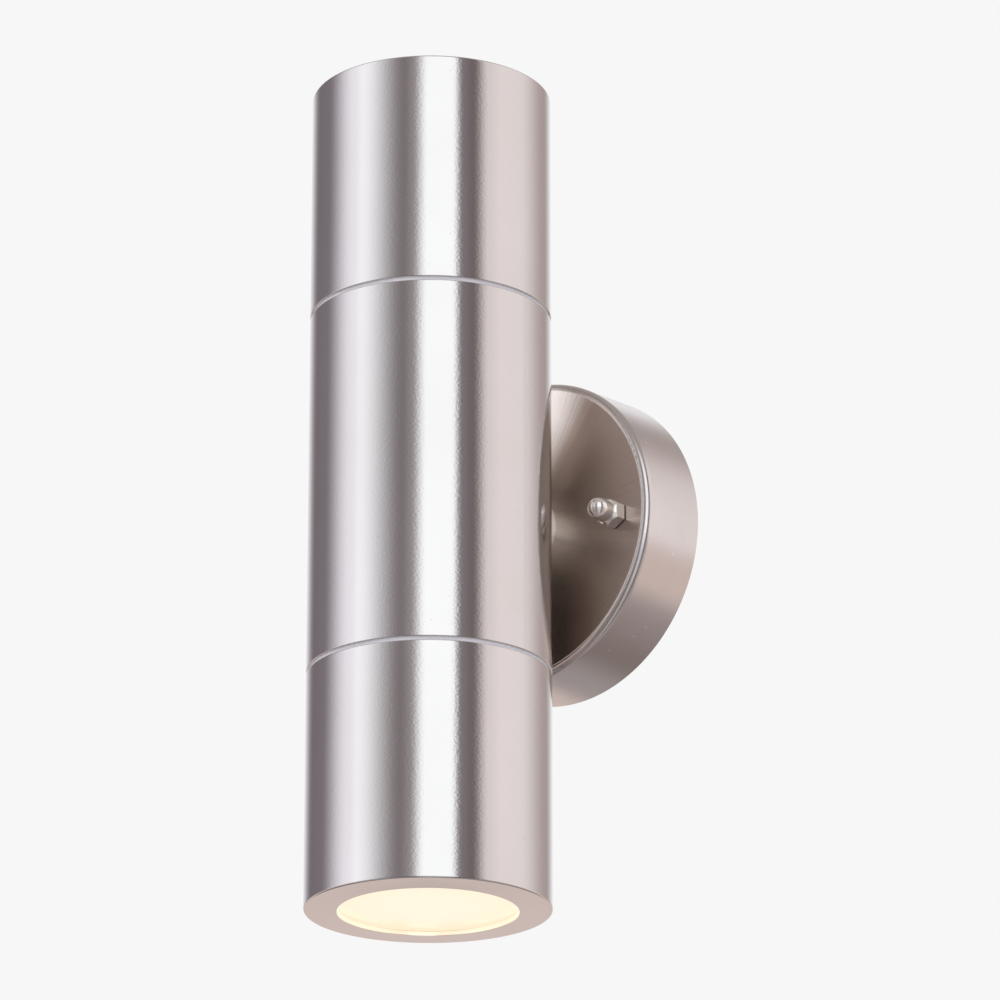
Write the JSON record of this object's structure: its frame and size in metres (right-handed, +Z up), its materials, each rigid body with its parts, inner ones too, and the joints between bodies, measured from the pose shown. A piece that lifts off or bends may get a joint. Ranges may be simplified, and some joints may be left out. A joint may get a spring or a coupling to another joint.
{
  "type": "tube wall light",
  "caption": "Upright round-tube wall light with a lamp and glass at each end, pull-off end caps, a short stem, a round canopy with dome nuts, and a wall bracket.",
  "frame": {"origin": "middle of the canopy and of the wall bracket's slots, on the wall's plane", "axes": "+Y points into the wall, +Z is up along the tube, +X is to the right for someone who faces the wall"},
  "size_m": [0.08, 0.0865, 0.2118],
  "materials": {
    "brushed_tube": "satin stainless steel, turned round with a fine grain",
    "satin_canopy": "satin stainless steel, spun, a little warmer and smoother than the tube",
    "turned_steel": "bright turned stainless steel",
    "nickel_plate": "bright nickel plate, tumbled",
    "zinc_steel": "zinc-plated steel",
    "spring_steel": "drawn spring wire",
    "collar_aluminium": "turned aluminium",
    "brass": "plain brass",
    "seam_silicone": "pale grey silicone, matt",
    "clear_silicone": "milky silicone",
    "black_rubber": "matt black rubber",
    "black_foam": "closed-cell foam",
    "lit_glass": "thick toughened glass, lightly frosted, lit warm from behind",
    "lamp_lens": "frosted lamp front, lit warm",
    "lamp_white": "white moulded lamp body",
    "holder_ceramic": "glazed ceramic",
    "terminal_plastic": "natural nylon",
    "brown_lead": "brown silicone insulation",
    "blue_lead": "blue silicone insulation",
    "earth_green_yellow": "green and yellow striped insulation"
  },
  "bodies": {
    "fixture": {"centre_tube": "brushed_tube", "upper_collar": "collar_aluminium", "lower_collar": "collar_aluminium", "upper_seam_gasket": "seam_silicone", "lower_seam_gasket": "seam_silicone", "upper_o_ring": "black_rubber", "lower_o_ring": "black_rubber", "upper_bridge": "zinc_steel", "lower_bridge": "zinc_steel", "bridge_screws": "zinc_steel", "upper_lampholder": "holder_ceramic", "lower_lampholder": "holder_ceramic", "holder_screws": "zinc_steel", "upper_contacts": "brass", "lower_contacts": "brass", "stem": "turned_steel", "stem_seal": "black_rubber", "nipple": "zinc_steel", "nipple_nuts": "zinc_steel", "saddle_washer": "collar_aluminium", "toothed_washer": "zinc_steel", "earth_tag": "nickel_plate", "canopy": "satin_canopy", "wall_gasket": "black_foam", "wall_bracket": "zinc_steel", "bracket_studs": "nickel_plate", "stud_nuts": "nickel_plate", "dome_nuts": "nickel_plate", "nut_seals": "black_rubber", "cable_grommet": "black_rubber", "earth_screw": "brass", "terminal_block": "terminal_plastic", "pole_tubes": "brass", "terminal_screws": "zinc_steel", "block_screws": "zinc_steel", "live_leads": "brown_lead", "neutral_leads": "blue_lead", "earth_lead": "earth_green_yellow"},
    "upper_cap": {"upper_cap": "brushed_tube", "upper_glass_gasket": "clear_silicone", "upper_glass": "lit_glass", "upper_retaining_ring": "spring_steel"},
    "lower_cap": {"lower_cap": "brushed_tube", "lower_glass_gasket": "clear_silicone", "lower_glass": "lit_glass", "lower_retaining_ring": "spring_steel"},
    "upper_lamp": {"upper_lamp_body": "lamp_white", "upper_lamp_lens": "lamp_lens", "upper_lamp_pins": "nickel_plate"},
    "lower_lamp": {"lower_lamp_body": "lamp_white", "lower_lamp_lens": "lamp_lens", "lower_lamp_pins": "nickel_plate"}
  },
  "joints": [
    {"name": "upper_cap_pull", "type": "slide", "parent": "fixture", "child": "upper_cap", "axis": [0, 0, 1], "range_m": [0, 0.052]},
    {"name": "lower_cap_pull", "type": "slide", "parent": "fixture", "child": "lower_cap", "axis": [0, 0, -1], "range_m": [0, 0.052]},
    {"name": "upper_lamp_twist", "type": "hinge", "parent": "fixture", "child": "upper_lamp", "pos_m": [0, -0.0565, 0.0473], "axis": [0, 0, 1], "range_deg": [0, 30]},
    {"name": "lower_lamp_twist", "type": "hinge", "parent": "fixture", "child": "lower_lamp", "pos_m": [0, -0.0565, -0.0473], "axis": [0, 0, -1], "range_deg": [0, 30]}
  ]
}
